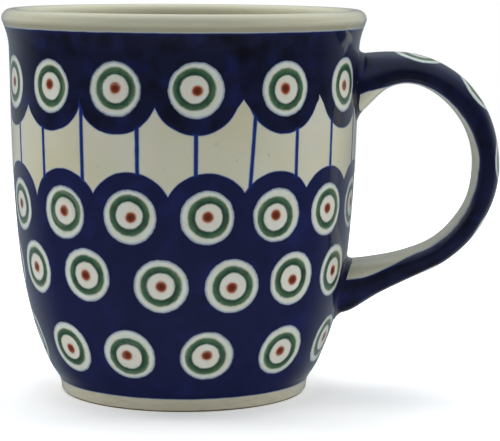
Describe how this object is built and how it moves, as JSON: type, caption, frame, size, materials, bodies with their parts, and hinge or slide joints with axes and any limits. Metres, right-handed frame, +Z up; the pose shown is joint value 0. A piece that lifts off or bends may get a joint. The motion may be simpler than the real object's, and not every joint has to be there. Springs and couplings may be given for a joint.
{
  "type": "mug",
  "caption": "Stoneware drinking mug: a round cup with a flared rounded lip, a tapered foot with a foot ring, and an arched strap handle luted to its side.",
  "frame": {"origin": "on the surface the mug stands on, under the middle of the mug's bounding box; the cup's own axis is 16.6 mm to -X of it", "axes": "+Z up, +X towards the handle, +Y away from a viewer who has the handle on their right"},
  "size_m": [0.1224, 0.0892, 0.094],
  "materials": {
    "cup_glaze": "glossy clear glaze over cream stoneware, hand-stamped in cobalt blue, green and red-brown",
    "handle_glaze": "glossy clear glaze over cobalt blue, with a cream inner face",
    "slip_glaze": "smoothed slip under the same cobalt and clear glaze"
  },
  "bodies": {
    "root": {"cup": "cup_glaze", "handle": "handle_glaze", "upper_luting_slip": "slip_glaze", "lower_luting_slip": "slip_glaze"}
  },
  "joints": []
}
